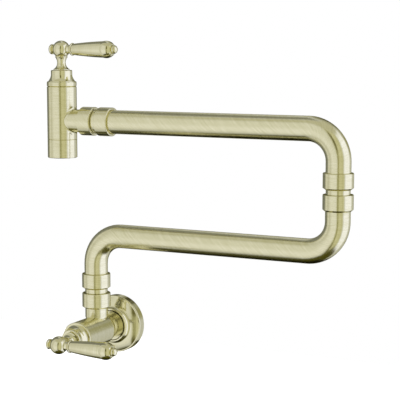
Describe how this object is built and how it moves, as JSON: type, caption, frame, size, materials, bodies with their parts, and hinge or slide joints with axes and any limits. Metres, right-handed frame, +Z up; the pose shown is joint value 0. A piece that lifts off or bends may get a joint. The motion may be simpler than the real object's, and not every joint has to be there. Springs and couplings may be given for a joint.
{
  "type": "pot filler tap",
  "caption": "Wall mounted folding pot filler with two swing arms, a shut-off valve at the wall, a second at the spout, lever handles and a round flange.",
  "frame": {"origin": "centre of the water inlet's mouth, on the wall valve's axis in the plane of the wall", "axes": "+Z up, +Y into the wall, +X to the right seen from the room, along the folded arms"},
  "size_m": [0.3328, 0.1267, 0.3291],
  "materials": {
    "brushed_brass": "fine brushed, satin, pale greenish gold",
    "polished_brass": "satin polished, pale greenish gold",
    "machined_brass": "machined, uncoated",
    "steel": "bright stainless",
    "seal_rubber": "smooth black rubber",
    "bearing_plastic": "smooth, waxy white",
    "ceramic_disc": "lapped white ceramic",
    "outlet_plastic": "moulded grey-white plastic"
  },
  "bodies": {
    "wall_valve": {"valve_body": "brushed_brass", "wall_flange": "brushed_brass", "flange_gasket": "seal_rubber", "flange_grub_screw": "steel", "wall_valve_bonnet": "polished_brass", "wall_valve_cartridge_body": "machined_brass", "wall_valve_body_oring": "seal_rubber", "wall_valve_fixed_disc": "ceramic_disc", "wall_valve_seat_seal": "seal_rubber", "riser_joint_socket": "brushed_brass", "riser_joint_washer": "bearing_plastic", "riser_joint_grub_screw": "steel"},
    "lower_arm": {"lower_arm_tube": "brushed_brass", "riser_joint_spigot": "polished_brass", "riser_joint_collar": "brushed_brass", "riser_joint_orings": "seal_rubber", "elbow_joint_socket": "brushed_brass", "elbow_joint_washer": "bearing_plastic", "elbow_joint_grub_screw": "steel"},
    "upper_arm": {"upper_arm_tube": "brushed_brass", "elbow_joint_spigot": "polished_brass", "elbow_joint_collar": "brushed_brass", "elbow_joint_orings": "seal_rubber", "spout_union_spigot": "polished_brass", "spout_union_collar": "brushed_brass", "spout_union_orings": "seal_rubber", "spout_union_socket": "brushed_brass", "spout_union_washer": "bearing_plastic", "spout_union_grub_screw": "steel", "spout_body": "brushed_brass", "outlet_sleeve": "brushed_brass", "outlet_oring": "seal_rubber", "aerator_insert": "outlet_plastic", "aerator_screen": "steel", "aerator_washer": "seal_rubber", "flow_regulator": "outlet_plastic", "spout_valve_bonnet": "polished_brass", "spout_valve_cartridge_body": "machined_brass", "spout_valve_body_oring": "seal_rubber", "spout_valve_fixed_disc": "ceramic_disc", "spout_valve_seat_seal": "seal_rubber"},
    "wall_handle": {"wall_valve_spindle": "machined_brass", "wall_valve_spindle_oring": "seal_rubber", "wall_valve_turning_disc": "ceramic_disc", "wall_valve_handle_hub": "polished_brass", "wall_valve_handle_screw": "steel", "wall_valve_lever_rod": "steel", "wall_valve_lever_grip": "brushed_brass", "wall_valve_lever_button": "polished_brass", "wall_valve_rear_cap": "polished_brass"},
    "spout_handle": {"spout_valve_spindle": "machined_brass", "spout_valve_spindle_oring": "seal_rubber", "spout_valve_turning_disc": "ceramic_disc", "spout_valve_handle_hub": "polished_brass", "spout_valve_handle_screw": "steel", "spout_valve_lever_rod": "steel", "spout_valve_lever_grip": "brushed_brass", "spout_valve_lever_button": "polished_brass", "spout_valve_rear_cap": "polished_brass"}
  },
  "joints": [
    {"name": "lower_arm_swivel", "type": "hinge", "parent": "wall_valve", "child": "lower_arm", "pos_m": [0, -0.046, 0.0427], "axis": [0, 0, 1], "range_deg": [-180, 0]},
    {"name": "upper_arm_swivel", "type": "hinge", "parent": "lower_arm", "child": "upper_arm", "pos_m": [0.264, -0.046, 0.1588], "axis": [0, 0, 1], "continuous": true},
    {"name": "wall_valve_handle", "type": "hinge", "parent": "wall_valve", "child": "wall_handle", "pos_m": [0, -0.0851, 0], "axis": [0, -1, 0], "range_deg": [0, 90]},
    {"name": "spout_valve_handle", "type": "hinge", "parent": "upper_arm", "child": "spout_handle", "pos_m": [-0.0391, -0.046, 0.2572], "axis": [0, 0, 1], "range_deg": [-90, 0]}
  ]
}
